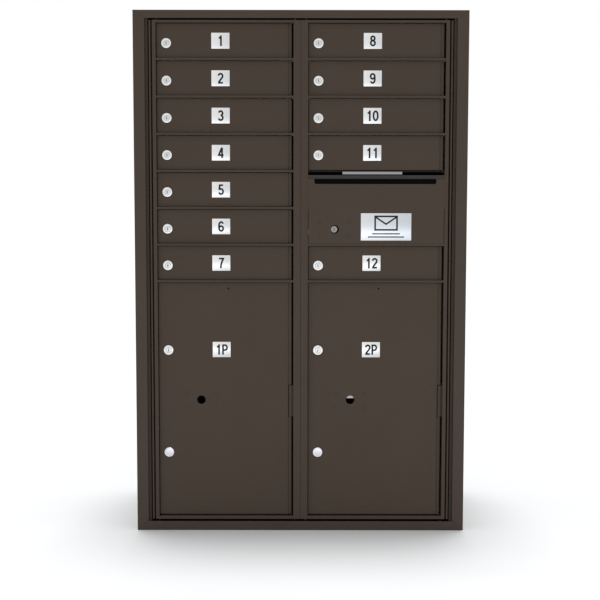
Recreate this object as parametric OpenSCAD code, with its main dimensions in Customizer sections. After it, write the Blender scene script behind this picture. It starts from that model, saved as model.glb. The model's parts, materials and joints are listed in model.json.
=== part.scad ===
// Recessed cluster mailbox unit: twelve tenant doors, two parcel lockers and an outgoing
// mail slot, carried on two full-height master doors in a wall cabinet.
// X is to the right, the front faces -Y and Z is up. Inside the modules y = 0 is the
// front face of the wall trim, and in_place() moves it to the part's own frame.

/* [Unit] */
// Overall width across the wall trim
unit_w = 790; // [780:1:800]
// Overall height of the wall trim
unit_h = 1244; // [1240:1:1250]
// Depth from the trim's front face to the back of the cabinet
unit_d = 418; // [400:1:460]
// Thickness of the cabinet sheet metal
sheet_t = 1.5; // [1.2:0.1:1.5]

/* [Wall trim] */
// Visible width of the trim's side members
trim_side_w = 27; // [26:0.5:28]
// Visible width of the trim's top member
trim_top_w = 19; // [18:0.5:20]
// Visible width of the trim's bottom member
trim_bottom_w = 22; // [21:0.5:23]
// Thickness of the trim
trim_t = 2; // [1.5:0.1:2]

/* [Rows] */
// Vertical distance from one tenant row to the next
row_pitch = 87.3; // [87:0.1:87.5]
// Height of a tenant door
door_h = 80.4; // [80:0.1:80.6]
// Distance from the unit's top edge down to the first door
first_door_drop = 30.5; // [30:0.1:31]
// Height of a parcel door
parcel_h = 564.3; // [560:0.1:565]

/* [Master doors] */
// Visible width of each outer stile
outer_stile_w = 8.5; // [8.2:0.1:9.5]
// Visible width of each centre stile
centre_stile_w = 17.2; // [16:0.1:18]
// Depth of the stiles behind the front face
frame_d = 17.6; // [17:0.1:17.8]
// Gap between the two master doors
seam_gap = 0.4; // [0.3:0.1:0.8]
// Height of a rail between two doors
rail_h = 5.3; // [4:0.1:5.4]
// Clearance between a door and the rail under it
rail_gap = 0.35; // [0.3:0.05:0.6]
// Depth of a rail
rail_d = 15; // [14:0.5:16.5]

/* [Doors] */
// Thickness of a door face
plate_t = 2.5; // [2:0.1:2.8]
// How far the door faces sit behind the rails
door_recess = 8; // [7:0.5:8.5]
// Outside radius of the knuckle rolled along a door's hinge edge
knuckle_r = 2.75; // [2.6:0.05:3]
// Gap between a door and the frame on its lock side
lock_gap = 0.7; // [0.6:0.1:1.5]
// Gap between a door and the frame on its hinge side
hinge_gap = 3.2; // [3:0.1:5]

/* [Locks] */
// Diameter of a lock's face
lock_face_d = 23.5; // [22:0.5:25]
// Diameter of a lock's plug
plug_d = 14; // [13:0.5:14]
// Distance from a door's free edge to its lock
lock_inset = 23.5; // [22.5:0.1:24]
// Reach of a cam from the lock's centre
cam_reach = 29.3; // [28:0.1:30]
// Rise of a latch bar from open to locked
latch_rise = 12; // [11:0.5:12]

/* [Hidden] */
$fn = 48;
left = 0;
right = 1;
eps = 0.05;      // gap between two pieces that are screwed or pressed together
pin_r = 1.25;    // hinge pins
bore_r = 1.3;    // knuckle bores, a running fit on the pins
seat_r = 1.27;   // holes that hold a pin

hood_r = 3.75;
hood_proud = 1.75;
front_y = hood_proud - (unit_d + hood_proud) / 2;

// plan positions, measured from the centre line
barrel_r = 2.4;
barrel_x = unit_w / 2 - 39.4;
barrel_y = 3;
stile_x = barrel_x - 5.6;
opening_out = stile_x - outer_stile_w;
opening_in = seam_gap / 2 + centre_stile_w;
opening_w = opening_out - opening_in;
door_w = opening_w - lock_gap - hinge_gap;
cabinet_x = unit_w / 2 - 19;
liner_x = 344;
partition_x = 12.5;

// heights
frame_top = unit_h - 23.4;
parcel_row = 8;
function row_top(row) = unit_h - first_door_drop - (row - 1) * row_pitch;
function row_bottom(row) = row_top(row) - door_h;
function rail_z(row) = row_bottom(row) - rail_gap - rail_h / 2;
parcel_top = row_top(parcel_row);
parcel_bottom = parcel_top - parcel_h;
bottom_rail_h = 7.6;
frame_bottom = parcel_bottom - 3 - bottom_rail_h;
top_rail_h = 5.9;
cabinet_bottom = 12;
cabinet_top = unit_h - 12;
wall_z = [cabinet_bottom + sheet_t + eps, cabinet_top - sheet_t - eps];

// depths behind the trim's front face
door_back = door_recess + plate_t;
pin_y = door_recess + knuckle_r;
lock_front = door_recess - 2.4;
lock_end = frame_d + 0.2;
cam_y = frame_d + 0.5;
cam_t = 2;
bar_y = frame_d + 0.3;
bar_t = 2.5;
arm_y = bar_y + bar_t + 0.2;
keeper_y = 26;
keeper_t = 2;
hook_y = keeper_y + keeper_t + 1;
rack_y = 28;

// the outgoing mail slot and the carrier's lock, on the right master door
slot_top = unit_h - 394;
slot_bottom = unit_h - 406;
slot_in = 32.4;
slot_out = 321.3;
panel_top = slot_top + 9;
panel_step = row_bottom(5) - 5;
flap_y = 5.2;
flap_z = slot_top + 3.5;
flap_r = 2.3;
post_lock_x = 79.5;
post_lock_z = unit_h - 513.5;
crank_r = latch_rise / sqrt(2);
crank_drop = latch_rise / 2;

// parcel door details, measured down from the parcel door's top edge
tab_top = parcel_top - 248;
tab_bottom = parcel_top - 323.6;
tab_r = 5.5;
key_drop = 283.4;
key_inset = 101.7;
cap_drop = 411.5;

hinge_segments = 19;
hook_z = [160, 560, 1040];
hook_h = 14;
hook_t = 4;
keeper_h = 20;
guide_z = [100, 480, 860, 1130];
fixing_y = [60, 360];
fixing_z = [172, 1172];

right_rows = [1, 2, 3, 4, 7];
tenants = [for (n = [1:12]) n];
function tenant_col(n) = n <= 7 ? left : right;
function tenant_row(n) = n <= 7 ? n : right_rows[n - 8];
function opening_x(col) = col == left ? -opening_out : opening_in;
function door_x(col) = opening_x(col) + lock_gap;
function pin_x(col) = door_x(col) + door_w - knuckle_r;
function tenant_lock_z(row) = row_bottom(row) + door_h / 2 - 5.7;
parcel_lock_z = parcel_top - 162.6;

bronze = [0.29, 0.25, 0.22];
dark_bronze = [0.16, 0.14, 0.13];
mill = [0.62, 0.63, 0.64];
silver = [0.72, 0.72, 0.72];
zinc = [0.55, 0.56, 0.57];

// ---------------------------------------------------------------- helpers

module in_place(tint) {
  color(tint) translate([0, front_y, 0]) children();
}

// a box between two x, two y and two z values
module block(x, y, z) {
  translate([x[0], y[0], z[0]]) cube([x[1] - x[0], y[1] - y[0], z[1] - z[0]]);
}

// a round bar from front to back
module bar_y_axis(r, y, x = 0, z = 0, sides = $fn) {
  translate([x, y[0], z]) rotate([-90, 0, 0]) cylinder(r = r, h = y[1] - y[0], $fn = sides);
}

// a round bar standing up
module bar_z_axis(r, z, x = 0, y = 0) {
  translate([x, y, z[0]]) cylinder(r = r, h = z[1] - z[0]);
}

// the left side is the right side's mirror image
module on_side(side) {
  if (side == left) mirror([1, 0, 0]) children();
  else children();
}

// ---------------------------------------------------------------- cabinet

module trim_member(points) {
  translate([0, trim_t, 0]) rotate([90, 0, 0]) linear_extrude(trim_t) polygon(points);
}

module wall_trim() {
  out = unit_w / 2;
  in = out - trim_side_w;
  low = trim_bottom_w;
  high = unit_h - trim_top_w;
  cut = eps / 2;
  in_place(bronze) {
    trim_member([[-out + cut, unit_h], [-in + cut, high], [in - cut, high], [out - cut, unit_h]]);
    trim_member([[-out + cut, 0], [out - cut, 0], [in - cut, low], [-in + cut, low]]);
    for (side = [left, right]) on_side(side)
      trim_member([[out, cut], [out, unit_h - cut], [in, high - cut], [in, low + cut]]);
  }
}

// side sheet with its front flange and the return that carries the hinge
module side_sheet() {
  flange_in = barrel_x + 5.4;
  difference() {
    translate([0, 0, wall_z[0]]) linear_extrude(wall_z[1] - wall_z[0])
      polygon([[cabinet_x, trim_t + eps], [cabinet_x, unit_d], [cabinet_x - sheet_t, unit_d],
               [cabinet_x - sheet_t, 9.5], [flange_in + sheet_t, 9.5], [flange_in + sheet_t, 24],
               [flange_in, 24], [flange_in, 8], [cabinet_x - sheet_t, 8],
               [cabinet_x - sheet_t, trim_t + eps]]);
    for (y = fixing_y, z = fixing_z)
      translate([cabinet_x - 5, y, z]) rotate([0, 90, 0]) cylinder(r = 3.5, h = 10);
  }
}

module cabinet_shell() {
  in_place(bronze) {
    for (side = [left, right]) on_side(side) side_sheet();
    for (z = [cabinet_bottom, cabinet_top - sheet_t])
      block([-cabinet_x, cabinet_x], [8, unit_d], [z, z + sheet_t]);
  }
}

module back_panel() {
  inside = cabinet_x - sheet_t - eps;
  in_place(bronze)
    block([-inside, inside], [unit_d - sheet_t, unit_d], wall_z);
}

// partition sheets, with the keeper plates that the latch bars' hooks rise behind
module centre_partition() {
  in_place(mill)
    for (side = [left, right]) on_side(side) {
      block([partition_x, partition_x + 1.2], [keeper_y, unit_d - sheet_t - eps], wall_z);
      for (base = hook_z)
        block([1, partition_x - eps], [keeper_y, keeper_y + keeper_t],
              [base + hook_h + 2.5, base + hook_h + 2.5 + keeper_h]);
    }
}

// shelf heights, with the floor and the ceiling of each column
function shelf_rows(col) = col == left ? [1, 2, 3, 4, 5, 6, 7] : [1, 2, 3, 4, 6, 7];
function shelf_levels(col) =
  concat([parcel_bottom - 7, frame_top - 4], [for (row = shelf_rows(col)) rail_z(row)]);

module compartment_racks() {
  y = [rack_y, unit_d - sheet_t - eps];
  in_place(mill)
    for (col = [left, right]) on_side(col) {
      difference() {
        block([liner_x, liner_x + 1.2], y, wall_z);
        for (yy = fixing_y, zz = fixing_z)
          translate([liner_x - 1, yy, zz]) rotate([0, 90, 0]) cylinder(r = 9, h = 4);
      }
      for (level = shelf_levels(col))
        block([partition_x + 1.2 + eps, liner_x - eps], y, [level - 0.6, level + 0.6]);
    }
}

// ---------------------------------------------------------------- continuous hinge

// every second knuckle, from the given one; reach is +1 or -1 for the leaf's side
module leaf(first, reach, depth) {
  step = (frame_top - frame_bottom) / hinge_segments;
  web = reach > 0 ? [1.2, barrel_r] : [-barrel_r, -1.2];
  translate([barrel_x, barrel_y, 0]) {
    difference() {
      union() {
        for (i = [first:2:hinge_segments - 1]) {
          z = [frame_bottom + i * step + 0.15, frame_bottom + (i + 1) * step - 0.15];
          bar_z_axis(barrel_r, z);
          block(web, [0, 3], z);
        }
        block(web, [2.8, depth], [frame_bottom, frame_top]);
      }
      bar_z_axis(bore_r, [frame_bottom - 1, frame_top + 1]);
    }
  }
}

module cabinet_hinges() {
  foot = barrel_x + 5.4 - eps;
  in_place(dark_bronze)
    for (side = [left, right]) on_side(side) {
      union() {
        leaf(0, 1, 21);
        block([barrel_x + 2, foot], [22.8, 24], [frame_bottom, frame_top]);
      }
      bar_z_axis(pin_r, [frame_bottom, frame_top], barrel_x, barrel_y);
    }
}

module moving_leaf() {
  union() {
    leaf(1, -1, 14);
    block([stile_x + eps, barrel_x - 2], [15.8, 17], [frame_bottom, frame_top]);
  }
}

// ---------------------------------------------------------------- master doors

module stile(x) {
  difference() {
    block(x, [0, frame_d], [frame_bottom, frame_top]);
    block([x[0] + 2, x[1] - 2], [2, frame_d - 2], [frame_bottom - 1, frame_top + 1]);
  }
}

module rail(col, z, y = [0, rail_d]) {
  x = opening_x(col);
  difference() {
    block([x + eps, x + opening_w - eps], y, z);
    bar_z_axis(seat_r, [z[0] - 1, z[1] + 1], pin_x(col), pin_y);
  }
}

// hinge support that fills the notch in a parcel door
module parcel_tab(col) {
  reach = opening_x(col) + opening_w - eps;
  difference() {
    union() {
      bar_z_axis(tab_r, [tab_bottom, tab_top], pin_x(col), pin_y);
      block([pin_x(col), reach], [pin_y - 4.25, pin_y + tab_r], [tab_bottom, tab_top]);
    }
    bar_z_axis(seat_r, [tab_bottom - 1, tab_top + 1], pin_x(col), pin_y);
  }
}

// clip that keeps a latch bar against its stile
module bar_guide(z) {
  union() {
    block([10.4, 11.6], [frame_d + eps, bar_y + bar_t + 1.5], [z, z + 12]);
    block([2.7, 11.6], [bar_y + bar_t + 0.3, bar_y + bar_t + 1.5], [z, z + 12]);
  }
}

module master_frame(col, rail_rows) {
  seam_x = seam_gap / 2;
  on_side(col) {
    stile([opening_out, stile_x]);
    difference() {
      stile([seam_x, opening_in]);
      // relief behind the seam's front edge, so that the back corner clears as it swings
      block([seam_x - 1, seam_x + 0.5], [3, frame_d + 1], [frame_bottom - 1, frame_top + 1]);
    }
    moving_leaf();
    for (z = guide_z) bar_guide(z);
  }
  rail(col, [frame_top - top_rail_h, frame_top]);
  rail(col, [frame_bottom, frame_bottom + bottom_rail_h]);
  for (row = rail_rows) rail(col, [rail_z(row) - rail_h / 2, rail_z(row) + rail_h / 2]);
  parcel_tab(col);
}

module left_master_frame() {
  in_place(bronze) master_frame(left, [1, 2, 3, 4, 5, 6, 7]);
}

module right_master_frame() {
  set_back = [rail_z(4) - rail_h / 2, rail_z(4) + rail_h / 2];
  lug_in = pin_x(right) - 3;
  in_place(bronze) {
    master_frame(right, [1, 2, 3, 6, 7]);
    difference() {
      union() {
        block([opening_in + eps, opening_out - eps], [14, frame_d], set_back);
        block([lug_in, opening_out - eps], [8.6, 14], set_back);
      }
      bar_z_axis(seat_r, [set_back[0] - 1, set_back[1] + 1], pin_x(right), pin_y);
    }
  }
}

// spans of the hinge pins in one column, each [bottom, top]
pin_bite = 7;
function rail_pin(row) = [row_top(row + 1) - pin_bite, row_bottom(row) + pin_bite];
function end_pins() = [[row_top(1) - pin_bite, frame_top - 1],
                       [tab_bottom - pin_bite, tab_top + pin_bite],
                       [frame_bottom + 1, parcel_bottom + pin_bite]];

module left_door_pins() {
  spans = concat(end_pins(), [for (row = [1:7]) rail_pin(row)]);
  in_place(silver) for (z = spans) bar_z_axis(pin_r, z, pin_x(left), pin_y);
}

module right_door_pins() {
  below_door = [rail_z(4) - rail_h / 2, row_bottom(4) + pin_bite];
  above_door = [row_top(7) - pin_bite, rail_z(6) + rail_h / 2];
  spans = concat(end_pins(), [below_door, above_door], [for (row = [1, 2, 3, 7]) rail_pin(row)]);
  in_place(silver) for (z = spans) bar_z_axis(pin_r, z, pin_x(right), pin_y);
}

// ---------------------------------------------------------------- latch bars

// flat bar with three welded hooks, each a foot and a tip that points up
module latch_bar() {
  bar_back = bar_y + bar_t;
  block([3, 10], [bar_y, bar_back], [60, 1180]);
  for (base = hook_z) {
    block([4, 9], [bar_back + eps, hook_y + hook_t], [base, base + hook_t]);
    block([4, 9], [hook_y, hook_y + hook_t], [base + hook_t + eps, base + hook_h]);
  }
}

module left_latch_bar() {
  in_place(zinc) on_side(left) {
    latch_bar();
    bar_y_axis(3.4, [bar_y + bar_t + eps, keeper_y - 1], 6.5, 640);
  }
}

// the arm reaches across to the carrier's lock, whose crank pin works in its slot
module right_latch_bar() {
  pin_z = post_lock_z - crank_drop;
  arm_z = [pin_z - 6, pin_z + 6];
  slot_x = [post_lock_x - crank_r - 3, post_lock_x - crank_drop + 3];
  in_place(zinc) {
    latch_bar();
    difference() {
      union() {
        block([3, 10], [bar_y + bar_t + eps, arm_y + bar_t], arm_z);
        block([3, post_lock_x], [arm_y, arm_y + bar_t], arm_z);
      }
      block(slot_x, [arm_y - 1, arm_y + bar_t + 1], [pin_z - 2.4, pin_z + 2.4]);
    }
  }
}

// ---------------------------------------------------------------- door leaves

// door leaf with its rolled knuckle on the hinge edge, standing on z = 0
module door_leaf(height) {
  edge_r = 1;
  pin = [door_w - knuckle_r, knuckle_r];
  difference() {
    union() {
      block([edge_r, door_w - knuckle_r], [0, plate_t], [0, height]);
      translate([edge_r, edge_r, 0]) cylinder(r = edge_r, h = height);
      block([0, 2], [edge_r, 7.5], [0, height]);
      translate(pin) cylinder(r = knuckle_r, h = height);
    }
    translate([door_w - 2 * knuckle_r - 2.6, -0.4, -1]) cylinder(r = 1.3, h = height + 2);
    translate([pin[0], pin[1], -1]) cylinder(r = bore_r, h = height + 2);
  }
}

module lock_hole(x, z, r = 9.6) {
  bar_y_axis(r, [-5, 15], x, z);
}

module tenant_door(n) {
  row = tenant_row(n);
  x = door_x(tenant_col(n));
  in_place(bronze) difference() {
    translate([x, door_recess, row_bottom(row)]) door_leaf(door_h);
    lock_hole(x + lock_inset, tenant_lock_z(row));
  }
}

module parcel_door(col) {
  x = door_x(col);
  in_place(bronze) difference() {
    translate([x, door_recess, parcel_bottom]) door_leaf(parcel_h);
    lock_hole(x + lock_inset, parcel_lock_z);
    lock_hole(x + lock_inset, parcel_top - cap_drop);
    lock_hole(x + key_inset, parcel_top - key_drop, 10.5);
    lock_hole(x + 168.3, parcel_top - 14, 2);
    block([pin_x(col) - tab_r - 0.5, pin_x(col) + 10], [-1, 20], [tab_bottom - 1, tab_top + 1]);
  }
}

// ---------------------------------------------------------------- locks

module lock_case(x, z) {
  face_r = lock_face_d / 2;
  difference() {
    union() {
      bar_y_axis(face_r, [lock_front + 0.8, door_recess - eps], x, z);
      translate([x, lock_front, z]) rotate([-90, 0, 0])
        cylinder(r1 = face_r - 0.8, r2 = face_r, h = 0.8);
      bar_y_axis(9.5, [door_recess - 1, lock_end], x, z);
    }
    bar_y_axis(plug_d / 2 + 0.06, [lock_front - 1, lock_end + 1], x, z);
  }
}

module lock_nut(x, z) {
  difference() {
    bar_y_axis(14.5, [door_back + eps, door_back + 4], x, z, 6);
    bar_y_axis(9.56, [door_back - 1, door_back + 5], x, z);
  }
}

// plug with its stub, the cam hanging open, and the nut that holds the cam
module lock_plug(x, z) {
  stub_r = 4;
  tip_r = 5.5;
  tip = cam_reach - tip_r;
  end = cam_y + cam_t;
  difference() {
    union() {
      bar_y_axis(plug_d / 2, [lock_front, cam_y - 0.1], x, z);
      bar_y_axis(stub_r, [cam_y - 1, end + 2.6], x, z);
    }
    block([x - 0.9, x + 0.9], [lock_front - 1, lock_front + 10], [z - 3.7, z + 3.7]);
  }
  difference() {
    union() {
      bar_y_axis(7, [cam_y, end], x, z);
      block([x - tip_r, x + tip_r], [cam_y, end], [z - tip, z]);
      bar_y_axis(tip_r, [cam_y, end], x, z - tip);
    }
    bar_y_axis(stub_r + 0.02, [cam_y - 1, end + 1], x, z);
  }
  difference() {
    bar_y_axis(6.4, [end + eps, end + 2.4], x, z, 6);
    bar_y_axis(stub_r + 0.02, [end - 1, end + 4], x, z);
  }
}

module number_plate(x, z) {
  block([x - 21.5, x + 21.5], [door_recess - 0.8, door_recess - eps], [z - 18.5, z + 18.5]);
}

plate_inset = 151.2;

module tenant_fittings(n) {
  row = tenant_row(n);
  x = door_x(tenant_col(n));
  in_place(silver) {
    lock_case(x + lock_inset, tenant_lock_z(row));
    lock_nut(x + lock_inset, tenant_lock_z(row));
    number_plate(x + plate_inset, row_bottom(row) + door_h / 2);
  }
}

module tenant_plug(n) {
  in_place(silver)
    lock_plug(door_x(tenant_col(n)) + lock_inset, tenant_lock_z(tenant_row(n)));
}

stud_x = 35;
stud_z = 17;

// plate held on four welded studs, with a nut on each; hole is off its centre
module stud_plate(x, z, y, hole_r, hole_drop = 0) {
  difference() {
    block([x - 41, x + 41], [y, y + 2], [z - 23, z + 23]);
    bar_y_axis(hole_r, [y - 1, y + 3], x, z - hole_drop);
    for (dx = [-stud_x, stud_x], dz = [-stud_z, stud_z])
      bar_y_axis(2.6, [y - 1, y + 3], x + dx, z + dz);
  }
}

module studs(x, z, from, plate_back) {
  for (dx = [-stud_x, stud_x], dz = [-stud_z, stud_z])
    union() {
      bar_y_axis(2.5, [from, plate_back + 5], x + dx, z + dz);
      bar_y_axis(4.6, [plate_back + eps, plate_back + 3], x + dx, z + dz, 6);
    }
}

// closed cap in a spare lock hole, with its spring nut behind
module hole_cap(x, z) {
  bar_y_axis(11.75, [lock_front + 0.9, door_recess - eps], x, z);
  bar_y_axis(9.5, [door_recess - 1, door_back + 5], x, z);
}

module parcel_fittings(col) {
  x = door_x(col) + lock_inset;
  key_x = door_x(col) + key_inset;
  key_z = parcel_top - key_drop - 3.4;
  in_place(silver) {
    lock_case(x, parcel_lock_z);
    lock_nut(x, parcel_lock_z);
    number_plate(door_x(col) + plate_inset, parcel_top - 161.2);
    union() hole_cap(x, parcel_top - cap_drop);
    lock_nut(x, parcel_top - cap_drop);
    stud_plate(key_x, key_z, door_back + 2, 8, -1);
    studs(key_x, key_z, door_back + eps, door_back + 4);
  }
}

module parcel_plug(col) {
  in_place(silver) lock_plug(door_x(col) + lock_inset, parcel_lock_z);
}

// ---------------------------------------------------------------- outgoing mail

// sheet seen from the front: x across, z up, slot cut out
module panel_outline() {
  wide = [opening_in + eps, opening_out - eps];
  narrow = [opening_in + 1.1, opening_out - 1.1];
  difference() {
    union() {
      translate([wide[0], panel_step]) square([wide[1] - wide[0], panel_top - panel_step]);
      translate([narrow[0], row_bottom(6)])
        square([narrow[1] - narrow[0], panel_step - row_bottom(6) + 1]);
    }
    translate([slot_in, slot_bottom + 4]) square([slot_out - slot_in, slot_top - slot_bottom - 4]);
    translate([slot_in + 4, slot_bottom]) square([slot_out - slot_in - 8, 5]);
    for (x = [slot_in + 4, slot_out - 4]) translate([x, slot_bottom + 4]) circle(4);
    translate([post_lock_x + 1.5, post_lock_z]) circle(10);
  }
}

module outgoing_panel() {
  lugs = [[26, 28.5], [325.5, 328]];
  in_place(bronze) {
    difference() {
      union() {
        translate([0, 2, 0]) rotate([90, 0, 0]) linear_extrude(2) panel_outline();
        for (x = lugs) block(x, [1, flap_y + 3], [slot_top, panel_top - 0.5]);
        // half-round hood over the slot
        difference() {
          translate([opening_in + 4, hood_r - hood_proud, slot_top + hood_r]) rotate([0, 90, 0])
            cylinder(r = hood_r, h = opening_w - 8);
          block([0, unit_w], [2, 20], [slot_top - 10, panel_top + 10]);
        }
      }
      translate([20, flap_y, flap_z]) rotate([0, 90, 0]) cylinder(r = seat_r, h = 315);
    }
    translate([lugs[0][0], flap_y, flap_z]) rotate([0, 90, 0])
      cylinder(r = pin_r, h = lugs[1][1] - lugs[0][0]);
  }
}

module mail_flap() {
  x = [29, 325];
  in_place(dark_bronze) difference() {
    union() {
      translate([x[0], flap_y, flap_z]) rotate([0, 90, 0]) cylinder(r = flap_r, h = x[1] - x[0]);
      block(x, [flap_y - 0.7, flap_y + 0.7], [slot_bottom - 4, flap_z]);
    }
    translate([x[0] - 1, flap_y, flap_z]) rotate([0, 90, 0]) cylinder(r = bore_r, h = 300);
  }
}

module mail_guard() {
  tongue = [99, 240.7];
  wide = [30, 325];
  top = rail_z(4) - rail_h / 2 - eps;
  in_place(silver) union() {
    block(tongue, [5, 6], [panel_top + 1.8, panel_top + 8.1]);
    block(tongue, [5, 12], [top - 1, top]);
    block(wide, [9.2, 40], [top - 1, top]);
    block(wide, [39, 40], [slot_bottom - 40, top]);
  }
}

module mail_placard() {
  x = 203;
  z = unit_h - 507.5;
  in_place(silver) block([x - 60, x + 60], [-0.8, -eps], [z - 32.4, z + 32.4]);
}

module postal_lock_case() {
  x = post_lock_x;
  z = post_lock_z;
  in_place(zinc) {
    difference() {
      union() {
        stud_plate(x, z, 3.3, 5);
        block([x - 25, x + 25], [3.3, frame_d - 0.6], [z - 20, z + 20]);
      }
      bar_y_axis(7.56, [0, frame_d + 1], x, z);
    }
    studs(x, z, 2 + eps, 5.3);
  }
}

module postal_lock_plug() {
  x = post_lock_x;
  z = post_lock_z;
  disc_y = frame_d - 0.3;
  in_place(silver) difference() {
    union() {
      bar_y_axis(7.5, [2.4, disc_y + 1], x, z);
      bar_y_axis(12, [disc_y, disc_y + 2.5], x, z);
      bar_y_axis(2, [disc_y + 1, arm_y + bar_t + 1], x - crank_drop, z - crank_drop);
    }
    block([x - 0.9, x + 0.9], [1, 12], [z - 3.7, z + 3.7]);
  }
}

// ---------------------------------------------------------------- parts

wall_trim();
cabinet_shell();
back_panel();
centre_partition();
compartment_racks();
cabinet_hinges();
left_master_frame();
right_master_frame();
left_door_pins();
right_door_pins();
left_latch_bar();
right_latch_bar();
outgoing_panel();
mail_flap();
mail_guard();
mail_placard();
postal_lock_case();
postal_lock_plug();
for (n = tenants) {
  tenant_door(n);
  tenant_fittings(n);
  tenant_plug(n);
}
for (col = [left, right]) {
  parcel_door(col);
  parcel_fittings(col);
  parcel_plug(col);
}
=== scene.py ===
"""Looks for the recessed cluster mailbox unit.

The CAD frame keeps its shape and gets procedural finishes and fine edge radii. The locks, nuts,
number plates, caps, key brackets and the slot's placard are replaced by detailed pieces, and
hems, rivets, numerals and a studio are added. Meshes are drawn in millimetres and scaled to
metres.
"""
import json
import math

import bmesh
import bpy
from mathutils import Matrix, Vector


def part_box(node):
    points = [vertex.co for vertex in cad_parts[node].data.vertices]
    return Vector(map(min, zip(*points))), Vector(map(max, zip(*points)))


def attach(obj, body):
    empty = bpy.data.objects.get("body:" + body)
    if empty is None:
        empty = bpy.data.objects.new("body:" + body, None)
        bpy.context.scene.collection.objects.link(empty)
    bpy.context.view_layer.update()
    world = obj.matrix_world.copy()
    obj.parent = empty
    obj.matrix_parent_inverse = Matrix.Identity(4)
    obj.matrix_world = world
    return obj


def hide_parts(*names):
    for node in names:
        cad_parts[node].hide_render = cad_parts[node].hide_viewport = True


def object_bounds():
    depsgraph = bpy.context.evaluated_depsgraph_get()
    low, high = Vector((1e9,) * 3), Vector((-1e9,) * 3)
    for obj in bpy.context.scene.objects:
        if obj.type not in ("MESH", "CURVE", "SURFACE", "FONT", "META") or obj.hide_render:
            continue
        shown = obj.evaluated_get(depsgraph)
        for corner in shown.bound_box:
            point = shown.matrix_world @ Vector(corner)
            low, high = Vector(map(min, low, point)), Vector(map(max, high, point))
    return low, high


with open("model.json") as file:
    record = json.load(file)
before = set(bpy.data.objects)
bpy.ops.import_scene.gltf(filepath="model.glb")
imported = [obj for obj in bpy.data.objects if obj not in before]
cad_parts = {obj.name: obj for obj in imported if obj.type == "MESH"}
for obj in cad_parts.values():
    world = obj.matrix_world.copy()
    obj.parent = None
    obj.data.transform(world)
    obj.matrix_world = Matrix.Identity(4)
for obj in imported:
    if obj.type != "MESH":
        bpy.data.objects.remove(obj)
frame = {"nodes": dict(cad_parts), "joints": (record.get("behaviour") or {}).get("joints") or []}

CAD_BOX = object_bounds()
MM = 0.001
TURN = 2 * math.pi
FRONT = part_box("wall_trim")[0].y  # the trim's front face
DOOR_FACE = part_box("door_1")[0].y  # the doors sit deeper, behind the front of their frame
JOINTS = {joint["name"]: joint for joint in frame["joints"]}
SLOT_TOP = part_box("outgoing_panel")[1].z - 9 * MM  # the hood covers the panel above this
STUD_X, STUD_Z = 35, 17  # from a bracket's centre to its welded studs, in millimetres
TENANTS = range(1, 13)
PARCELS = (1, 2)
SHARP_STEP = 0.1 * MM  # how wide the change is where a finish ends at a line
scene = bpy.context.scene


# ---------------------------------------------------------------- shader nodes

class Finish:
    """A Principled material, with short ways to add nodes to it."""

    def __init__(self, name, **sockets):
        self.material = bpy.data.materials.new(name)
        self.material.use_nodes = True
        self.tree = self.material.node_tree
        self.surface = self.tree.nodes["Principled BSDF"]
        for socket, value in sockets.items():
            self.surface.inputs[socket.replace("_", " ")].default_value = value
        self.place = self.add("ShaderNodeTexCoord").outputs["Object"]

    def feed(self, socket, value):
        """Links an output to a socket, or sets the socket to a constant."""
        if isinstance(value, bpy.types.NodeSocket):
            self.tree.links.new(value, socket)
        else:
            socket.default_value = value

    def add(self, kind, inputs=None, **settings):
        node = self.tree.nodes.new(kind)
        for key, value in settings.items():
            setattr(node, key, value)
        for key, value in (inputs or {}).items():
            self.feed(node.inputs[key], value)
        return node

    def noise(self, scale, detail=2.0, stretch=(1, 1, 1), roughness=0.5):
        """Noise of about scale lumps per metre, drawn out along an axis by a small stretch."""
        place = self.add("ShaderNodeMapping", {"Vector": self.place, "Scale": stretch}).outputs[0]
        settings = {"Vector": place, "Scale": scale, "Detail": detail, "Roughness": roughness}
        return self.add("ShaderNodeTexNoise", settings).outputs["Fac"]

    def spread(self, value, low, high, start=0.3, end=0.7):
        """Maps value from start..end to low..high."""
        inputs = {"Value": value, "From Min": start, "From Max": end, "To Min": low, "To Max": high}
        return self.add("ShaderNodeMapRange", inputs).outputs["Result"]

    def mix(self, factor, first, second):
        node = self.add("ShaderNodeMix", data_type="RGBA")
        colours = [s for s in node.inputs if s.type == "RGBA"]
        for socket, value in zip([node.inputs[0], *colours], (factor, first, second)):
            self.feed(socket, value)
        return [s for s in node.outputs if s.type == "RGBA"][0]

    def maths(self, operation, first, second=0.0):
        node = self.add("ShaderNodeMath", operation=operation)
        for socket, value in zip(node.inputs, (first, second)):
            self.feed(socket, value)
        return node.outputs[0]

    def split(self):
        """The X, Y and Z of each point in the object's own frame."""
        return self.add("ShaderNodeSeparateXYZ", {0: self.place}).outputs

    def bump(self, height, distance, strength=1.0, over=None):
        inputs = {"Height": height, "Distance": distance, "Strength": strength}
        if over is not None:
            inputs["Normal"] = over
        return self.add("ShaderNodeBump", inputs).outputs["Normal"]

    def use(self, **sockets):
        """Links outputs to the surface, and returns the finished material."""
        for socket, value in sockets.items():
            self.tree.links.new(value, self.surface.inputs[socket.replace("_", " ")])
        return self.material


def shade(colour, amount):
    """The colour made lighter or darker, as red, green, blue and alpha."""
    return (*[c * amount for c in colour], 1.0)


def edge_mask(finish, radius):
    """1 on outside and inside edges and 0 on flats, from how far a rounded normal turns."""
    rounded = finish.add("ShaderNodeBevel", {"Radius": radius}, samples=4).outputs["Normal"]
    flat = finish.add("ShaderNodeNewGeometry").outputs["Normal"]
    across = finish.add("ShaderNodeVectorMath", {0: rounded, 1: flat}, operation="DOT_PRODUCT")
    return finish.spread(across.outputs["Value"], 1.0, 0.0, start=0.75, end=0.98)


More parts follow.
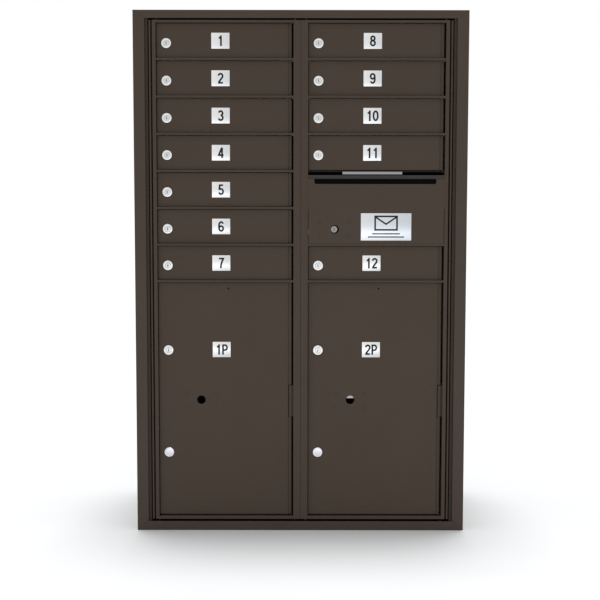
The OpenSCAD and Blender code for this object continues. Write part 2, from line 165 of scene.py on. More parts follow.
def grime(finish, tint, reach, depth):
    """Darkens a colour in crevices and between parts as painted shade, by how close ambient
    occlusion finds other surfaces.
    """
    node = finish.add("ShaderNodeAmbientOcclusion", {"Distance": reach}, samples=6)
    shade_tint = finish.mix(depth, tint, (0.0, 0.0, 0.0, 1.0))
    return finish.mix(finish.spread(node.outputs["AO"], 0, 1, start=0.25, end=0.9), shade_tint, tint)


def stud_marks(finish, tint, normal, colour, centre):
    """Faint ragged dimples at four welded studs round centre, (x, z), painted darker in their
    hollows as painted shade. Returns tint and normal.
    """
    split = finish.split()
    apart = [finish.maths("ABSOLUTE", finish.maths("SUBTRACT", split[axis], middle))
             for axis, middle in zip("XZ", centre)]
    gaps = [finish.maths("SUBTRACT", gap, reach * MM)
            for gap, reach in zip(apart, (STUD_X, STUD_Z))]
    squares = [finish.maths("MULTIPLY", gap, gap) for gap in gaps]
    radius = finish.maths("SQRT", finish.maths("ADD", *squares))
    dimple = finish.spread(radius, 1.0, 0.0, start=1.5 * MM, end=6.5 * MM)
    ragged = finish.maths("MULTIPLY", dimple, finish.spread(finish.noise(260, detail=3), 0.3, 1.0))
    normal = finish.bump(finish.maths("SUBTRACT", 1.0, ragged), 0.6 * MM, 0.8, over=normal)
    # painted shade in the dimples' hollows
    tint = finish.mix(finish.maths("MULTIPLY", ragged, 0.45), tint, shade(colour, 0.45))
    return tint, normal


def darken_bay(finish, tint, depth, low, high):
    """Blackens a coat behind a depth and between two heights, as painted shade in a set-back bay.
    """
    split = finish.split()
    bay = finish.spread(split["Y"], 0, 1, depth, depth + SHARP_STEP)
    for start, end in ((low, low + SHARP_STEP), (high, high - SHARP_STEP)):
        bay = finish.maths("MULTIPLY", bay, finish.spread(split["Z"], 0, 1, start, end))
    return finish.mix(bay, tint, (0.002, 0.0018, 0.0018, 1))


def powder_coat(name, colour, rough=0.5, marks_at=None, hood_above=None, bay_shade=None):
    """Satin powder coat: fine orange peel, faint mottling, edges painted a little lighter, partly
    as rubbed wear and partly as a painted highlight, and painted shade in crevices.

    marks_at is the (x, z) of a bracket's centre: its four welded studs show through the front
    as faint dimples. hood_above is the height from which the sheet is a bare darker hood.
    A bay may be given as a depth and two heights: behind that depth and between them the coat is
    painted black, as painted shade.
    """
    finish = Finish(name, Specular_IOR_Level=0.22)
    mottle = finish.noise(7, detail=4)
    grain = finish.noise(1500, detail=1)
    tint = finish.mix(finish.spread(mottle, 0, 1), shade(colour, 0.95), shade(colour, 1.05))
    tint = finish.mix(finish.spread(grain, 0, 0.5), tint, shade(colour, 1.14))
    if hood_above:
        above = finish.spread(finish.split()["Z"], 0, 1, hood_above - SHARP_STEP, hood_above)
        tint = finish.mix(above, tint, HOOD)
    # edges painted lighter: partly rubbed wear, partly a painted highlight where rounded edges
    # catch the light
    lit_and_worn_edges = finish.maths("MULTIPLY", edge_mask(finish, 0.6 * MM), 0.35)
    tint = finish.mix(lit_and_worn_edges, tint, shade(colour, 1.75))
    # painted shade in crevices, gaps and round fittings
    tint = grime(finish, tint, reach=3 * MM, depth=0.55)
    peel = finish.bump(finish.noise(650, detail=3), 0.02 * MM, 0.6)
    normal = finish.bump(finish.noise(22, detail=1), 0.12 * MM, 0.5, over=peel)
    if marks_at:
        tint, normal = stud_marks(finish, tint, normal, colour, marks_at)
    if bay_shade:
        tint = darken_bay(finish, tint, *bay_shade)
    roughness = finish.spread(finish.noise(90, detail=3), rough - 0.04, rough + 0.06)
    return finish.use(Base_Color=tint, Roughness=roughness, Normal=normal)


def brushed_metal(name, colour, rough, along, streaks, sheen_size=0, shade_behind=None):
    """Metal brushed along one axis, with long fine streaks.

    A plate's size in millimetres about the origin may be given: the plate is then painted a little
    brighter towards its upper left, as a painted sheen. Behind a given depth the metal is painted
    black, as painted shade.
    """
    stretch = [0.02 if axis == along else 1.0 for axis in "XYZ"]
    finish = Finish(name, Metallic=1.0, Anisotropic=0.4)
    fine = finish.noise(streaks, detail=4, stretch=stretch, roughness=0.7)
    broad = finish.noise(12, detail=2, stretch=[4 * s if s < 1 else s for s in stretch])
    tint = finish.mix(finish.spread(broad, 0, 1), shade(colour, 0.9), shade(colour, 1.06))
    tint = finish.mix(finish.spread(fine, 0, 0.6), tint, shade(colour, 0.93))
    if sheen_size:
        # painted sheen: brighter towards the upper left, as if lit from there
        across = finish.maths("SUBTRACT", finish.split()["Z"], finish.split()["X"])
        lit = finish.spread(across, 0.0, 1.0, -0.6 * sheen_size * MM, 0.6 * sheen_size * MM)
        dim = (*[c * k for c, k in zip(colour, (0.74, 0.755, 0.79))], 1.0)
        tint = finish.mix(lit, dim, tint)
    roughness = finish.spread(fine, rough - 0.08, rough + 0.1)
    if shade_behind:
        # painted shade: black behind the given depth, where the guard lies deep in the slot
        behind = finish.spread(finish.split()["Y"], 0, 1, shade_behind, shade_behind + SHARP_STEP)
        tint = finish.mix(behind, tint, (0.004, 0.004, 0.004, 1))
        roughness = finish.mix(behind, roughness, (0.8, 0.8, 0.8, 1))
    return finish.use(Base_Color=tint, Roughness=roughness,
                      Normal=finish.bump(fine, 0.015 * MM, 0.5))


def turned_metal(name, colour, rough):
    """Satin-plated die casting with faint turning rings about its own Y axis."""
    ring_pitch = 0.35 * MM
    finish = Finish(name, Metallic=1.0)
    flat = finish.add("ShaderNodeMapping", {"Vector": finish.place, "Scale": (1, 0, 1)}).outputs[0]
    radius = finish.add("ShaderNodeVectorMath", {0: flat}, operation="LENGTH").outputs["Value"]
    rings = finish.maths("SINE", finish.maths("MULTIPLY", radius, TURN / ring_pitch))
    cloud = finish.noise(400, detail=3)
    tint = finish.mix(finish.spread(cloud, 0, 1), shade(colour, 0.86), shade(colour, 1.05))
    height = finish.maths("ADD", finish.maths("MULTIPLY", rings, 0.15), cloud)
    roughness = finish.spread(cloud, rough - 0.06, rough + 0.08)
    return finish.use(Base_Color=tint, Roughness=roughness,
                      Normal=finish.bump(height, 0.012 * MM, 0.5))


def zinc_plate(name, colour, rough):
    """Bright zinc plating: a cloudy grey with a hint of blue and straw."""
    finish = Finish(name, Metallic=1.0)
    cloud = finish.noise(55, detail=4)
    hue = finish.noise(24, detail=2)
    cool, warm = [(*[c * k for c, k in zip(colour, scale)], 1.0)
                  for scale in ((0.93, 0.97, 1.06), (1.05, 1.02, 0.92))]
    tint = finish.mix(finish.spread(hue, 0, 1), cool, warm)
    tint = finish.mix(finish.spread(cloud, 0, 0.5), tint, shade(colour, 0.78))
    roughness = finish.spread(cloud, rough - 0.08, rough + 0.12)
    peel = finish.bump(finish.noise(800, detail=2), 0.01 * MM, 0.5)
    return finish.use(Base_Color=tint, Roughness=roughness, Normal=peel)


def matt(name, colour, specular):
    """Matt ink, nylon, or black that stands in for shade, a little uneven in tone."""
    finish = Finish(name, Specular_IOR_Level=specular)
    cloud = finish.noise(900, detail=3)
    tint = finish.mix(finish.spread(cloud, 0, 1), shade(colour, 0.7), shade(colour, 1.3))
    return finish.use(Base_Color=tint, Roughness=finish.spread(cloud, 0.55, 0.75))


BRONZE = (0.0437, 0.0300, 0.0202)
DEEP_BRONZE = (0.020, 0.0155, 0.0135)
HOOD = (0.0265, 0.0238, 0.0230, 1.0)
finishes = {
    "doors": powder_coat("bronze_door", BRONZE),
    "frames": powder_coat("bronze_frame", shade(BRONZE, 0.97)[:3]),
    "trim": powder_coat("bronze_trim", (0.0437, 0.0308, 0.0218), rough=0.46),
    "hinges": powder_coat("bronze_hinge", shade(BRONZE, 0.98)[:3], rough=0.46),
    "cabinet": powder_coat("bronze_cabinet", shade(BRONZE, 0.9)[:3], rough=0.55),
    "dark": powder_coat("bronze_dark", DEEP_BRONZE, rough=0.42),
    "mill": brushed_metal("mill_aluminium", (0.60, 0.61, 0.62), 0.42, "Z", streaks=260),
    "plate": brushed_metal("brushed_plate", (0.80, 0.80, 0.785), 0.34, "X", 1200, sheen_size=55),
    "placard": brushed_metal("brushed_placard", (0.70, 0.728, 0.755), 0.36, "X", 1200, sheen_size=150),
    # the guard is painted black behind its tongue, as painted shade
    "guard": brushed_metal("brushed_guard", (0.30, 0.295, 0.30), 0.32, "X", 900,
                           shade_behind=FRONT + 6.4 * MM),
    "lock": turned_metal("satin_lock", (0.76, 0.76, 0.75), 0.3),
    "cap": turned_metal("satin_cap", (0.64, 0.63, 0.68), 0.3),
    "plug": turned_metal("satin_plug", (0.60, 0.61, 0.62), 0.34),
    "pin": turned_metal("steel_pin", (0.27, 0.26, 0.25), 0.42),
    "zinc": zinc_plate("zinc_plating", (0.50, 0.50, 0.50), 0.36),
    "ink": matt("black_ink", (0.006, 0.007, 0.010), 0.25),
    # painted shade: near-black for parts seen only through dark holes and slots
    "black": matt("shade_black", (0.0025, 0.002, 0.002), 0.03),
    "nylon": matt("white_nylon", (0.50, 0.45, 0.45), 0.3),
}


# ---------------------------------------------------------------- mesh tools

def draw(name, build, finish):
    """The mesh that build(bm) draws in millimetres, scaled to metres."""
    bm = bmesh.new()
    build(bm)
    bmesh.ops.remove_doubles(bm, verts=bm.verts, dist=0.002)
    bmesh.ops.recalc_face_normals(bm, faces=bm.faces)
    bm.transform(Matrix.Scale(MM, 4))
    mesh = bpy.data.meshes.new(name)
    bm.to_mesh(mesh)
    bm.free()
    mesh.materials.append(finishes[finish])
    mesh.shade_smooth()
    mesh.set_sharp_from_angle(angle=math.radians(35))
    return mesh


def put(name, mesh, body, at=(0, 0, 0), replaces=()):
    """Places a mesh in the row frame and hangs it on a body."""
    piece = bpy.data.objects.new(name, mesh)
    piece.location = at
    scene.collection.objects.link(piece)
    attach(piece, body)
    if replaces:
        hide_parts(*replaces)


def add_shell(bm, shell):
    """Adds a finished bmesh to another as a shell of its own."""
    temporary = bpy.data.meshes.new("shell")
    shell.to_mesh(temporary)
    shell.free()
    bm.from_mesh(temporary)
    bpy.data.meshes.remove(temporary)


def lathe(bm, profile, steps=48, closed=True, shape=None):
    """Turns an outline of (radius, depth) points round the Y axis. shape may move each point."""
    rings = []
    for i in range(steps):
        angle = TURN * i / steps
        ring = []
        for radius, y in profile:
            if shape:
                radius, y = shape(radius, y, angle)
            ring.append(bm.verts.new((radius * math.cos(angle), y, radius * math.sin(angle))))
        rings.append(ring)
    count = len(profile)
    for here, there in zip(rings, rings[1:] + rings[:1]):
        for j in range(count if closed else count - 1):
            k = (j + 1) % count
            bm.faces.new((here[j], here[k], there[k], there[j]))


def bow(x, z, rx, rz, start, end, steps=18):
    """Points along part of an ellipse, with its angles in degrees."""
    angles = [math.radians(start + (end - start) * i / steps) for i in range(steps + 1)]
    return [(x + rx * math.cos(a), z + rz * math.sin(a)) for a in angles]


def arc(x, z, radius, start, end, steps):
    return bow(x, z, radius, radius, start, end, steps)


def circle(radius, x=0.0, z=0.0, steps=40):
    return arc(x, z, radius, 0, 360, steps)[:-1]


def rounded_rectangle(width, height, radius, z=0.0):
    w, h = width / 2 - radius, height / 2 - radius
    corners = ((w, h, 0), (-w, h, 90), (-w, -h, 180), (w, -h, 270))
    return [p for cx, cz, turn in corners for p in arc(cx, z + cz, radius, turn, turn + 90, 4)]


def cut_plate(bm, outlines, depths, edge):
    """A flat plate facing -Y, its rims rounded by edge. The first (x, z) outline is its outside
    and the rest are holes."""
    plate = bmesh.new()
    front, back = depths
    for outline in outlines:
        loop = [plate.verts.new((x, front, z)) for x, z in outline]
        for a, b in zip(loop, loop[1:] + loop[:1]):
            plate.edges.new((a, b))
    bmesh.ops.triangle_fill(plate, use_beauty=True, edges=plate.edges[:])
    made = bmesh.ops.extrude_face_region(plate, geom=plate.faces[:])["geom"]
    moved = [v for v in made if isinstance(v, bmesh.types.BMVert)]
    bmesh.ops.translate(plate, verts=moved, vec=(0, back - front, 0))
    bmesh.ops.recalc_face_normals(plate, faces=plate.faces)
    rims = [e for e in plate.edges if len(e.link_faces) == 2
            and abs(e.verts[0].co.y - e.verts[1].co.y) < 1e-6
            and e.calc_face_angle() > 1.0]
    bmesh.ops.bevel(plate, geom=rims, offset=edge, segments=2, profile=0.5, affect="EDGES",
                    clamp_overlap=False)
    add_shell(bm, plate)


def hex_nut(bm, corner, bore, depths, steps=72):
    """Hexagonal nut with its corners turned down at both ends. corner and bore are radii."""
    flat = corner * math.cos(TURN / 12)
    limit = (flat + corner) / 2
    front, back = depths

    def shape(radius, y, angle):
        side = flat / math.cos(angle % (TURN / 6) - TURN / 12)
        if radius == limit:
            return min(limit, side), y
        if radius == corner:
            inward = 0.2 + 0.55 * max(0.0, side - limit)
            return side, y + inward if y == front else y - inward
        return radius, y

    lathe(bm, [(bore + 0.5, front), (limit, front), (corner, front), (corner, back), (limit, back),
               (bore + 0.5, back), (bore, back - 0.5), (bore, front + 0.5)], steps, shape=shape)


def threaded(radius, start, end, pitch=1.0):
    """Outline points and a shape for lathe() that give a round bar a real helical thread."""
    steps = int((end - start) / pitch * 4)
    points = [(radius, start + (end - start) * i / steps) for i in range(steps + 1)]

    def shape(r, y, angle):
        if r != radius or not start < y < end:
            return r, y
        ramp = min(1.0, (y - start) / pitch, (end - y) / pitch)
        wave = abs((y / pitch + angle / TURN) % 1.0 - 0.5) * 2
        return r - 0.5 * pitch * ramp * wave, y

    return points, shape


# ---------------------------------------------------------------- locks and plates

# All in millimetres, with y = 0 at the door's face. A lock's pieces are drawn about its axis.
LOCK_BODY_R = 9.5
PLUG_R = 6.95
STUB_R = 4.0  # the plug's threaded end, which carries the cam
CAM_TIP_DROP = 23.8  # from the lock's axis to the middle of the cam's round tip
PLATE_DEPTHS = (-0.8, -0.05)  # of the number plates and the placard
PLATE_ACROSS = 127.7  # from a door's lock to its number plate
TENANT_PLATE_RISE, PARCEL_PLATE_RISE = 5.7, 1.4
KEY_HOLE = Vector((78.2, -120.8))  # from a parcel door's lock, x and z
BRACKET_DROP = 3.4  # from the key hole to the bracket's centre
BRACKET_DEPTHS = (4.5, 6.5)
CAP_HOLE_DROP = 248.9  # from a parcel door's lock to its capped spare hole


def draw_case(bm):
    """Lock case: stepped flange, turned groove round the plug, threaded barrel."""
    face = [(7.06, -1.85), (7.3, -2.22), (7.9, -2.4), (9.0, -2.4), (9.35, -2.18), (9.7, -2.4),
            (10.8, -2.34), (11.4, -2.08), (11.7, -1.6), (11.75, -1.0), (11.75, -0.3),
            (11.5, -0.05)]
    thread, shape = threaded(LOCK_BODY_R, 2.5, 9.4)
    end = [(9.1, 9.8), (7.4, 9.8), (7.06, 9.5)]
    lathe(bm, face + [(LOCK_BODY_R, -0.05)] + thread + end, steps=64, shape=shape)


def draw_plug(bm):
    """Plug: face with a warded keyway, round body, and the threaded stub for the cam."""
    keyway = [(-0.5, 3.7), (-0.5, 1.9), (-0.95, 1.5), (-0.95, -0.3), (-0.35, -0.8), (-0.35, -2.2),
              (-0.95, -2.6), (-0.95, -3.7), (0.45, -3.7), (0.45, -1.2), (0.95, -0.8), (0.95, 1.0),
              (0.5, 1.4), (0.5, 3.7)]
    cut_plate(bm, [circle(PLUG_R, steps=56), keyway], (-2.25, 6.5), edge=0.35)
    thread, shape = threaded(STUB_R, 10.4, 14.6, pitch=0.8)
    body = [(0, 6.52), (PLUG_R, 6.52), (PLUG_R, 9.6), (PLUG_R - 0.35, 10.0), (STUB_R, 10.0)]
    end = [(STUB_R - 0.6, 14.7), (0, 14.7)]
    lathe(bm, body + thread + end, closed=False, shape=shape)


def draw_cam(bm):
    """Stamped cam hanging from the stub, with its hexagonal nut."""
    hub = arc(0, 0, 7.0, -38.2, 218.2, 24)
    tip = arc(0, -CAM_TIP_DROP, 5.5, 180, 360, 14)
    bore = STUB_R + 0.02
    cut_plate(bm, [hub + tip, circle(bore)], (10.1, 12.1), edge=0.35)
    hex_nut(bm, 6.4, bore, (12.15, 14.5))


def draw_lock_nut(bm):
    hex_nut(bm, 14.5, LOCK_BODY_R, (2.55, 6.5))


def draw_number_plate(bm):
    cut_plate(bm, [rounded_rectangle(43, 37, 0.9)], PLATE_DEPTHS, edge=0.22)


def draw_cap(bm):
    """Blank cap for a spare lock hole: a low dome with a rolled rim, and its shank."""
    dome = [(11.0 * math.sin(t), -0.95 - 0.85 * math.cos(t)) for t in
            (TURN / 4 * i / 10 for i in range(8))]
    rim = [(10.3, -1.28), (10.7, -1.48), (11.3, -1.45), (11.65, -1.1), (11.75, -0.7),
           (11.75, -0.2), (11.5, -0.05), (9.5, -0.05)]
    thread, shape = threaded(LOCK_BODY_R, 2.5, 7.1)
    lathe(bm, dome + rim + thread + [(9.2, 7.5), (0, 7.5)], closed=False, shape=shape)


def draw_bracket(bm):
    """Key bracket behind a parcel door, with its window round the key hole."""
    window = circle(8.0, z=1.0)
    holes = [circle(2.6, x, z, 20) for x in (-STUD_X, STUD_X) for z in (-STUD_Z, STUD_Z)]
    cut_plate(bm, [rounded_rectangle(82, 46, 3), window, *holes], BRACKET_DEPTHS, edge=0.3)


def draw_key_tab(bm):
    """White tab between door and bracket, seen in the top of the key hole."""
    cut_plate(bm, [rounded_rectangle(17, 10, 1.5, z=12.1)], (2.6, 4.4), edge=0.35)


def draw_studs(bm):
    """Four threaded studs, welded to the back of the door, with a nut on each."""
    radius, foot, back = 2.5, 2.55, BRACKET_DEPTHS[1]
    thread, shape = threaded(radius, foot + 1.0, back + 4.6, pitch=0.8)
    outline = [(0, foot), (radius, foot)] + thread + [(radius - 0.5, back + 5), (0, back + 5)]
    for x in (-STUD_X, STUD_X):
        for z in (-STUD_Z, STUD_Z):
            stud = bmesh.new()
            lathe(stud, outline, 24, closed=False, shape=shape)
            hex_nut(stud, 4.6, radius, (back + 0.05, back + 3), 36)
            bmesh.ops.translate(stud, verts=stud.verts, vec=(x, 0, z))
            add_shell(bm, stud)


def ribbon(bm, points, width, depths, closed=False):
    """A printed line of even width through (x, z) points, with mitred corners."""
    front, back = depths
    count = len(points)
    rows = []
    for i, point in enumerate(points):
        before = Vector(points[i - 1] if closed or i else point)
        after = Vector(points[(i + 1) % count] if closed or i < count - 1 else point)
        into = (Vector(point) - before).normalized()
        out = (after - Vector(point)).normalized()
        along = (into + out).normalized()
        normal = Vector((-along.y, along.x))
        straight = into if into.length else out
        reach = width / 2 / max(0.35, abs(along.dot(straight)))
        sides = [Vector(point) + normal * reach * side for side in (1, -1)]
        rows.append([bm.verts.new((p.x, y, p.y)) for p, y in
                     ((sides[0], front), (sides[1], front), (sides[1], back), (sides[0], back))])
    for here, there in zip(rows, rows[1:] + rows[:1] if closed else rows[1:]):
        for j in range(4):
            k = (j + 1) % 4
            bm.faces.new((here[j], here[k], there[k], there[j]))
    if not closed:
        bm.faces.new(rows[0])
        bm.faces.new(rows[-1])


FIGURE_HEIGHT = 25.0
FIGURE_STROKE = 4.2
FIGURE_PITCH = 15.2
SIX = [(bow(0, 7.6, 4.9, 5.7, 0, 360)[:-1], True),
       (bow(0, 15, 5.0, 8.1, 28, 180) + [(-5.0, 8)], False)]
FIGURES = {  # centre lines of each figure as (points, closed), from its foot at z = 0
    "0": [(bow(0, 12.5, 5.0, 10.6, 0, 360, 28)[:-1], True)],
    "1": [([(1.4, 0), (1.4, 25)], False), ([(-3.9, 18.7), (-1.2, 19.4), (0.9, 21.4)], False)],
    "2": [(bow(0, 17.6, 4.9, 5.5, 172, -38) + [(-3.3, 4.6), (-3.9, 1.9), (5.6, 1.9)], False)],
    "3": [(bow(0, 18.1, 4.5, 5.0, 165, -90), False), (bow(0, 7.5, 5.0, 5.6, 90, -165), False)],
    "4": [([(6.6, 6.9), (-4.9, 6.9), (2.0, 23.6)], False), ([(2.9, 0), (2.9, 25)], False)],
    "5": [([(5.0, 23.1), (-2.9, 23.1), (-4.2, 12.0)], False),
          (bow(0, 8.2, 5.0, 6.3, 142, -160), False)],
    "6": SIX,
    "7": [([(-5.6, 23.1), (4.9, 23.1), (1.6, 15.5), (-0.7, 7.5), (-1.3, 0)], False)],
    "8": [(bow(0, 18.3, 4.3, 4.8, 0, 360)[:-1], True), (bow(0, 7.5, 5.0, 5.6, 0, 360)[:-1], True)],
    "9": [([(-x, FIGURE_HEIGHT - z) for x, z in line], closed) for line, closed in SIX],
    "P": [([(-4.4, 0), (-4.4, 25)], False),
          ([(-4.4, 23.1)] + bow(0.9, 17.2, 4.5, 5.9, 90, -90, 12) + [(-4.4, 11.3)], False)],
}


def numeral(name, text):
    """Condensed printed numeral, a hair proud of its plate and centred on its origin. Each line
    is a little prouder than the one before, so that no two faces fall together."""
    def build(bm):
        layer = 0
        for i, figure in enumerate(text):
            shift = (i - (len(text) - 1) / 2) * FIGURE_PITCH
            for points, closed in FIGURES[figure]:
                layer += 1
                moved = [(x + shift, z - FIGURE_HEIGHT / 2) for x, z in points]
                ribbon(bm, moved, FIGURE_STROKE, (-0.04 - 0.004 * layer, 0.01), closed)

    return draw(name, build, "ink")


case_mesh = draw("lock_case", draw_case, "lock")
plug_mesh = draw("lock_plug", draw_plug, "plug")
cam_mesh = draw("lock_cam", draw_cam, "zinc")
nut_mesh = draw("lock_nut", draw_lock_nut, "zinc")
number_plate_mesh = draw("number_plate", draw_number_plate, "plate")


def add_lock(label, door_body, lock_body, fittings, plug, plate_rise):
    """Everything that a door's own lock and number plate are made of. Returns the lock's place."""
    x, _, z = JOINTS[f"{lock_body}_turn"]["pos_m"]
    at = Vector((x, DOOR_FACE, z))
    put(f"lock_case_{label}", case_mesh, door_body, at, [fittings])
    put(f"lock_nut_{label}", nut_mesh, door_body, at)
    put(f"lock_plug_{label}", plug_mesh, lock_body, at, [plug])
    put(f"lock_cam_{label}", cam_mesh, lock_body, at)
    plate_at = at + Vector((PLATE_ACROSS, 0, plate_rise)) * MM
    put(f"number_plate_{label}", number_plate_mesh, door_body, plate_at)
    put(f"number_{label}", numeral(f"number_{label}", label), door_body,
        plate_at + Vector((0, PLATE_DEPTHS[0], 0)) * MM)
    return at


for n in TENANTS:
    add_lock(str(n), f"tenant_door_{n}", f"lock_{n}", f"fittings_{n}", f"plug_{n}",
             TENANT_PLATE_RISE)

cap_mesh = draw("hole_cap", draw_cap, "cap")
# the key bracket is painted black, as painted shade in the key hole
bracket_mesh = draw("key_bracket", draw_bracket, "black")
stud_mesh = draw("bracket_studs", draw_studs, "zinc")
brackets = {}
for n in PARCELS:
    body = f"parcel_locker_{n}"
    lock = add_lock(f"{n}P", body, f"parcel_lock_{n}", f"parcel_fittings_{n}",
                    f"parcel_plug_{n}", PARCEL_PLATE_RISE)
    cap_at = lock - Vector((0, 0, CAP_HOLE_DROP)) * MM
    put(f"hole_cap_{n}", cap_mesh, body, cap_at)
    put(f"cap_nut_{n}", nut_mesh, body, cap_at)
    brackets[n] = lock + Vector((KEY_HOLE.x, 0, KEY_HOLE.y - BRACKET_DROP)) * MM
    put(f"key_bracket_{n}", bracket_mesh, body, brackets[n])
    put(f"bracket_studs_{n}", stud_mesh, body, brackets[n])
put("key_tab", draw("key_tab", draw_key_tab, "nylon"), "parcel_locker_2", brackets[2])


# ---------------------------------------------------------------- the slot's placard

def draw_placard(bm):
    cut_plate(bm, [rounded_rectangle(120, 64.8, 1.2)], PLATE_DEPTHS, edge=0.25)


def draw_envelope(bm):
    """A generic sign for post: an envelope, with two plain rules under it."""
    ink = (-0.84, -0.79)
    side, bottom, top = 26.0, -7.0, 25.0
    ribbon(bm, [(-side, bottom), (side, bottom), (side, top), (-side, top)], 4.0, ink, closed=True)
    flap = [(1.5 - side, top - 2), (0, 6.5), (side - 1.5, top - 2)]
    ribbon(bm, flap, 3.7, (ink[0] - 0.01, ink[1]))
    for z, half in ((-16.5, 33.0), (-24.0, 43.0)):
        ribbon(bm, [(-half, z), (half, z)], 2.8, ink)


placard_low, placard_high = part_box("mail_placard")
placard_at = Vector(((placard_low.x + placard_high.x) / 2, FRONT,
                     (placard_low.z + placard_high.z) / 2))
put("placard_plate", draw("placard_plate", draw_placard, "placard"), "right_master",
    placard_at, ["mail_placard"])
put("placard_sign", draw("placard_sign", draw_envelope, "ink"), "right_master",
    placard_at)


# ---------------------------------------------------------------- rivets and hems

def draw_rivets(spots, head=2.6, rise=0.7):
    """A builder for domed rivet heads at (point in metres, outward direction)."""
    dome = [(head * math.cos(t), rise * math.sin(t)) for t in (TURN / 4 * i / 5 for i in range(6))]

    def build(bm):
        for point, outward in spots:
            rivet = bmesh.new()
            lathe(rivet, [(0, -0.2), (head - 0.2, -0.2), (head, 0.0)] + dome[1:], 20, closed=False)
            turn = Vector(outward).to_track_quat("Y", "Z").to_matrix().to_4x4()
            rivet.transform(Matrix.Translation(Vector(point) / MM) @ turn)
            add_shell(bm, rivet)

    return build


def steps_between(start, end, spacing):
    """Even steps from start to end, about spacing apart."""
    count = max(1, round((end - start) / spacing))
    return [start + (end - start) * i / count for i in range(count + 1)]


RIVET_INSET = 9 * MM  # from a sheet's edge to its row of rivets


def side_rivets(low, high):
    """Rivets along the top, bottom and back edges of both cabinet sides."""
    spots = []
    for side, x in ((-1, low.x), (1, high.x)):
        for z in (low.z + RIVET_INSET, high.z - RIVET_INSET):
            for y in steps_between(low.y + 45 * MM, high.y - 25 * MM, 65 * MM):
                spots.append(((x, y, z), (side, 0, 0)))
        for z in steps_between(low.z + 60 * MM, high.z - 60 * MM, 110 * MM):
            spots.append(((x, high.y - RIVET_INSET, z), (side, 0, 0)))
    return spots


def back_rivets(low, high):
    """Rivets along all four edges of the back panel, and in two rows along the partition."""
    spots = []
    for z in (low.z + RIVET_INSET, high.z - RIVET_INSET):
        for x in steps_between(low.x + RIVET_INSET, high.x - RIVET_INSET, 90 * MM):
            spots.append(((x, high.y, z), (0, 1, 0)))
    middle = 1.45 * RIVET_INSET
    for x in (low.x + RIVET_INSET, high.x - RIVET_INSET, -middle, middle):
        for z in steps_between(low.z + 70 * MM, high.z - 70 * MM, 110 * MM):
            spots.append(((x, high.y, z), (0, 1, 0)))
    return spots


def rivet_hinge(name, side):
    """Rivets in the fixed and the moving leaf of one master door's hinge."""
    barrel_x = JOINTS["right_master_hinge"]["pos_m"][0]
    leaf_face = 1.2 * MM
    low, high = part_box("cabinet_hinges")
    heights = steps_between(low.z + 40 * MM, high.z - 40 * MM, 95 * MM)
    fixed = [((side * (barrel_x + leaf_face), FRONT + 14 * MM, z), (-side, 0, 0)) for z in heights]
    moving = [((side * (barrel_x - leaf_face), FRONT + 10 * MM, z), (side, 0, 0)) for z in heights]
    for leaf, spots, body in (("wall", fixed, "cabinet"), ("door", moving, f"{name}_master")):
        mesh = draw("leaf_rivets", draw_rivets(spots, head=1.9, rise=0.45), "dark")
        put(f"{name}_{leaf}_leaf_rivets", mesh, body)


shell_spots = side_rivets(*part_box("cabinet_shell")) + back_rivets(*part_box("back_panel"))
put("cabinet_rivets", draw("cabinet_rivets", draw_rivets(shell_spots), "cabinet"), "cabinet")
rivet_hinge("left", -1)
rivet_hinge("right", 1)


def draw_hems(levels_by_side):
    """A builder for turned-down lips along the front edges of the shelves, from their heights
    on the left (-1) and the right (1)."""
    lip = [(28.0, 0.6), (27.4, 0.6), (26.85, 0.35), (26.6, -0.2), (26.6, -2.2), (26.8, -2.8),
           (27.35, -3.1), (27.9, -2.8), (28.0, -2.2), (28.0, -0.6)]

    def build(bm):
        inner, outer = 13.8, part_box("compartment_racks")[1].x / MM - 1.35
        for side, levels in levels_by_side.items():
            for level in levels:
                rows = [[bm.verts.new((side * x, FRONT / MM + y, level / MM + z)) for y, z in lip]
                        for x in (inner, outer)]
                for a, b, c, d in zip(rows[0], rows[0][1:] + rows[0][:1], rows[1],
                                      rows[1][1:] + rows[1][:1]):
                    bm.faces.new((a, b, d, c))
                for row in rows:
                    bm.faces.new(row)

    return build


def under_doors(numbers):
    """The heights of the shelves under these doors."""
    return [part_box(f"door_{n}")[0].z - 3.0 * MM for n in numbers]


bay_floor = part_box("door_12")[1].z + 3.9 * MM  # the outgoing mail's bay stands on door 12's row
shelf_levels = {-1: under_doors(range(1, 8)), 1: under_doors((8, 9, 10, 12)) + [bay_floor]}
put("shelf_hems", draw("shelf_hems", draw_hems(shelf_levels), "mill"), "cabinet")


# ---------------------------------------------------------------- finishes on the CAD frame

def soften(node, radius):
    """Fine radii on a CAD node's edges, made by modifiers so that its own mesh stays as it is."""
    weld = node.modifiers.new("weld", "WELD")
    weld.merge_threshold = 0.005 * MM
    bevel = node.modifiers.new("edge radius", "BEVEL")
    bevel.width = radius * MM
    bevel.segments = 2
    bevel.limit_method = "ANGLE"
    bevel.angle_limit = math.radians(40)
    bevel.use_clamp_overlap = True
    normals = node.modifiers.new("normals", "WEIGHTED_NORMAL")
    normals.weight = 100
    normals.keep_sharp = False


def paint(node, finish, radius=0.0):
    """Gives a CAD node a finish, by its name or as a material, and its edges a radius in mm."""
    obj = frame["nodes"][node]
    for slot in obj.material_slots:
        slot.material = finishes[finish] if isinstance(finish, str) else finish
    if radius:
        soften(obj, radius)


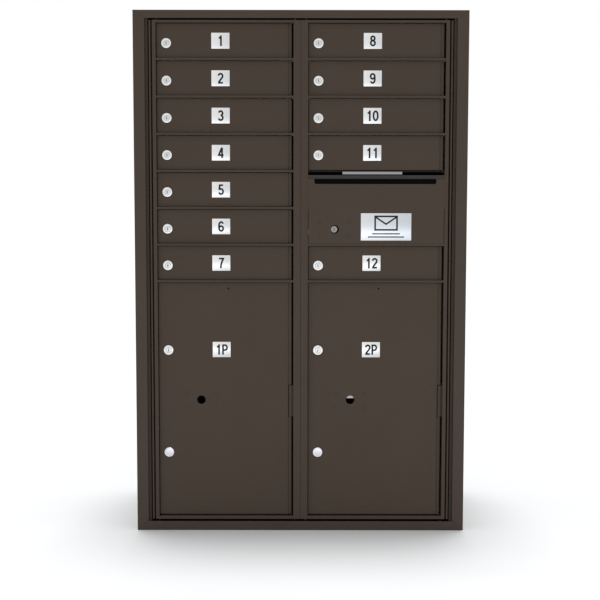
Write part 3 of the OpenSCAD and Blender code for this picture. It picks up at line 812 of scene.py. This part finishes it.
for n in TENANTS:
    paint(f"door_{n}", "doors", 0.3)
for n in PARCELS:
    marks = (brackets[n].x, brackets[n].z)
    paint(f"parcel_door_{n}", powder_coat(f"bronze_parcel_door_{n}", BRONZE, marks_at=marks), 0.3)
postal = JOINTS["postal_lock_turn"]["pos_m"]
panel_coat = powder_coat("bronze_panel", BRONZE, marks_at=(postal[0], postal[2]),
                         hood_above=SLOT_TOP)
paint("outgoing_panel", panel_coat, 0.25)
paint("left_master_frame", "frames", 0.35)
bay_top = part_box("door_11")[0].z  # the rail under door 11 is set back, in the slot's shadow
# painted shade: the set-back rail under door 11 is coloured black
right_coat = powder_coat("bronze_right_frame", shade(BRONZE, 0.97)[:3],
                         bay_shade=(FRONT + 8.4 * MM, bay_top - 6 * MM, bay_top - 0.2 * MM))
paint("right_master_frame", right_coat, 0.35)
paint("wall_trim", "trim", 0.4)
paint("cabinet_shell", "cabinet")  # no edge radii: they would mark its wide, pierced sheets
paint("back_panel", "cabinet", 0.3)
for name in ("centre_partition", "compartment_racks"):
    paint(name, "mill", 0.25)
paint("cabinet_hinges", "hinges", 0.15)
for name in ("left_door_pins", "right_door_pins"):
    paint(name, "dark", 0.15)
# the flap and the postal lock's case are painted black, as painted shade in the slot and the lock's
# hole
for name in ("mail_flap", "postal_lock_case"):
    paint(name, "black", 0.15)
paint("mail_guard", "guard", 0.2)
paint("postal_lock_plug", "pin", 0.3)
for name in ("left_latch_bar", "right_latch_bar"):
    paint(name, "zinc", 0.3)


# ---------------------------------------------------------------- studio

def floor():
    """Plain pale floor just under the unit, far wider than any view."""
    bm = bmesh.new()
    bmesh.ops.create_grid(bm, x_segments=8, y_segments=8, size=60)
    mesh = bpy.data.meshes.new("floor")
    bm.to_mesh(mesh)
    bm.free()
    finish = Finish("floor", Roughness=0.9, Specular_IOR_Level=0.0)
    cloud = finish.noise(3, detail=2)
    tint = finish.mix(finish.spread(cloud, 0, 1), (0.475, 0.48, 0.485, 1), (0.485, 0.49, 0.495, 1))
    mesh.materials.append(finish.use(Base_Color=tint))
    obj = bpy.data.objects.new("floor", mesh)
    gap = 0.2 * MM
    obj.location.z = CAD_BOX[0].z - gap
    scene.collection.objects.link(obj)


def light(name, kind, energy, position, aim, **settings):
    lamp = bpy.data.lights.new(name, kind)
    lamp.energy = energy
    for key, value in settings.items():
        setattr(lamp, key, value)
    obj = bpy.data.objects.new(name, lamp)
    obj.location = position
    obj.rotation_mode = "QUATERNION"
    obj.rotation_quaternion = (Vector(aim) - Vector(position)).to_track_quat("-Z", "Y")
    scene.collection.objects.link(obj)


def studio():
    """White surroundings, a wide sun almost overhead, and a low softbox in front."""
    world = bpy.data.worlds.new("studio")
    world.use_nodes = True
    world.node_tree.nodes["Background"].inputs["Color"].default_value = (1, 1, 1, 1)
    world.node_tree.nodes["Background"].inputs["Strength"].default_value = 1.0
    scene.world = world
    scene.view_settings.view_transform = "Standard"
    tilt = math.radians(7.8)
    light("overhead", "SUN", 3.85, (0, 3 * math.sin(tilt), 3 * math.cos(tilt)), (0, 0, 0),
          angle=math.radians(23))
    height = 0.12
    light("low softbox", "AREA", 5, (0.3, -2.4, height), (0, 0, height), shape="RECTANGLE",
          size=2.4, size_y=0.3)


def camera():
    """A long lens 3 m in front, level with the outgoing slot and tipped down a little."""
    data = bpy.data.cameras.new("camera")
    data.sensor_width = 36
    data.lens = 76.76
    obj = bpy.data.objects.new("camera", data)
    obj.location = (-0.0014, FRONT - 3.0456, CAD_BOX[1].z - 0.4025)
    down, roll = math.radians(5.25), math.radians(0.078)
    obj.matrix_world = (Matrix.Translation(obj.location)
                        @ Matrix.Rotation(TURN / 4 - down, 4, "X") @ Matrix.Rotation(roll, 4, "Z"))
    scene.collection.objects.link(obj)
    scene.camera = obj


floor()
studio()
camera()
